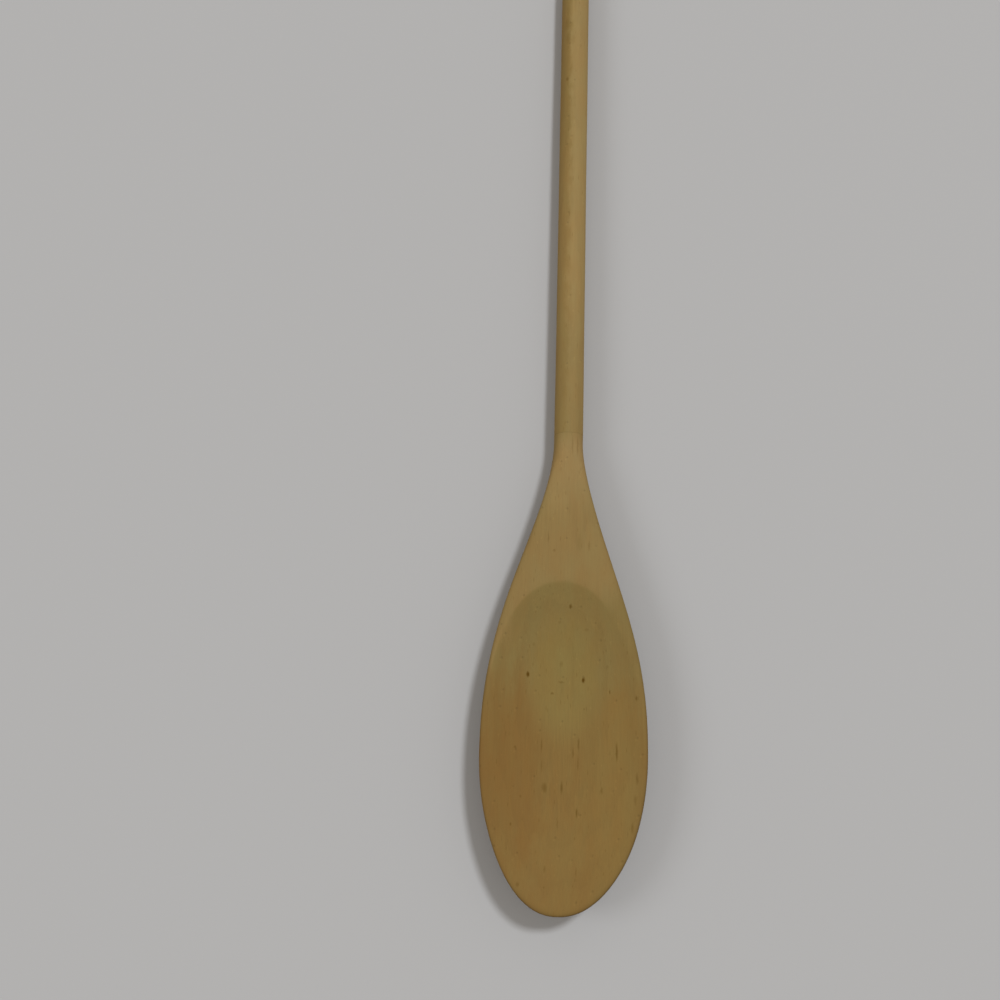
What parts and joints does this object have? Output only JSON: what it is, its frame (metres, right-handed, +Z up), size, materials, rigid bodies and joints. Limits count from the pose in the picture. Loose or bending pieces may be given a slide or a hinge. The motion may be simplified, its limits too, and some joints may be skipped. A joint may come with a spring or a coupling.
{
  "type": "wooden spoon",
  "caption": "Long wooden cooking spoon with an oval hollowed bowl, flat-faced neck and slim round handle glued into the neck, for stirring and tasting.",
  "frame": {"origin": "on the table, under the middle of the spoon's bounding box as it lies on its back", "axes": "+Y along the spoon towards the handle's end, +Z up out of the bowl's hollow, +X to the right of someone who looks along the handle from the bowl"},
  "size_m": [0.0564, 0.35, 0.0146],
  "materials": {
    "head_wood": "used beech, straight fine grain with dark flecks, darkened in the hollow, satin",
    "handle_wood": "used beech, straight fine grain, handled smooth, satin"
  },
  "bodies": {
    "root": {"bowl_head": "head_wood", "handle": "handle_wood"}
  },
  "joints": []
}
